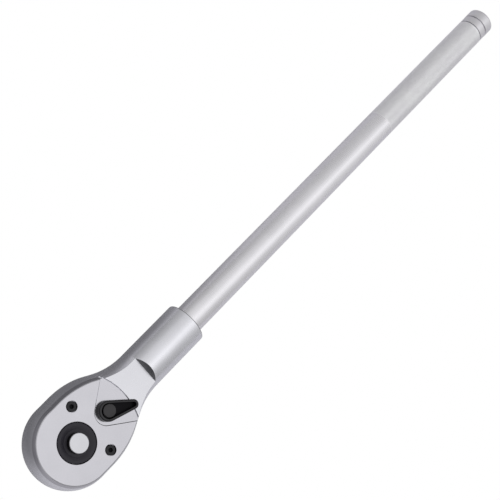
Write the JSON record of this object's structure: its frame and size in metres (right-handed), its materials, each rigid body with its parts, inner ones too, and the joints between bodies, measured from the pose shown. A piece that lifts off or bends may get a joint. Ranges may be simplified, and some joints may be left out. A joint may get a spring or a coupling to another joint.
{
  "type": "reversible ratchet handle",
  "caption": "Round-head reversible ratchet handle with a quick-release square drive, a reversing lever on the cover and a long tubular handle with a knurled grip.",
  "frame": {"origin": "centre of the drive square's end face, on the drive axis", "axes": "+X along the handle, away from the head; +Z along the drive axis, from the square to the release button"},
  "size_m": [0.5145, 0.0622, 0.0582],
  "materials": {
    "satin_chrome": "satin",
    "handle_chrome": "satin, knurled at the grip",
    "bright_steel": "polished",
    "tool_steel": "ground",
    "spring_steel": "drawn wire",
    "black_oxide": "black oxide",
    "black_lever": "satin black",
    "dark_spindle": "matt, dark grey",
    "seal_rubber": "matt"
  },
  "bodies": {
    "head": {"head_body": "satin_chrome", "cover_plate": "satin_chrome", "cover_screws": "black_oxide", "thrust_washer": "spring_steel", "hub_seal": "seal_rubber", "journal_seal": "seal_rubber", "spindle_seal": "seal_rubber", "pawl_pin": "bright_steel", "handle_tube": "handle_chrome", "handle_roll_pin": "black_oxide", "end_cap": "handle_chrome"},
    "drive": {"drive_gear": "tool_steel", "drive_square": "tool_steel", "hub_ring": "black_oxide", "button_spring": "spring_steel"},
    "button": {"release_button": "bright_steel", "release_stem": "tool_steel"},
    "ball": {"detent_ball": "bright_steel"},
    "lever": {"reversing_lever": "black_lever", "lever_spindle": "dark_spindle", "detent_plunger": "bright_steel", "detent_spring": "spring_steel"},
    "pawl": {"pawl": "tool_steel"}
  },
  "joints": [
    {"name": "drive_turn", "type": "hinge", "parent": "head", "child": "drive", "pos_m": [0, 0, 0.03], "axis": [0, 0, -1], "continuous": true},
    {"name": "button_press", "type": "slide", "parent": "drive", "child": "button", "axis": [0, 0, -1], "range_m": [0, 0.0025], "stiffness_N_per_m": 1200, "springref_m": -0.004, "deforming": ["button_spring"]},
    {"name": "ball_slide", "type": "slide", "parent": "drive", "child": "ball", "axis": [0, 1, 0], "range_m": [0, 0.0012]},
    {"name": "lever_turn", "type": "hinge", "parent": "head", "child": "lever", "pos_m": [0.0304, 0, 0.05], "axis": [0, 0, 1], "range_deg": [0, 59]},
    {"name": "pawl_rock", "type": "hinge", "parent": "head", "child": "pawl", "pos_m": [0.0224, 0, 0.04], "axis": [0, 0, 1], "range_deg": [-10, 0]}
  ],
  "couplings": [
    {"joint": "ball_slide", "follows": "button_press", "ratio": 0.475},
    {"joint": "pawl_rock", "follows": "lever_turn", "ratio": -0.1695}
  ]
}
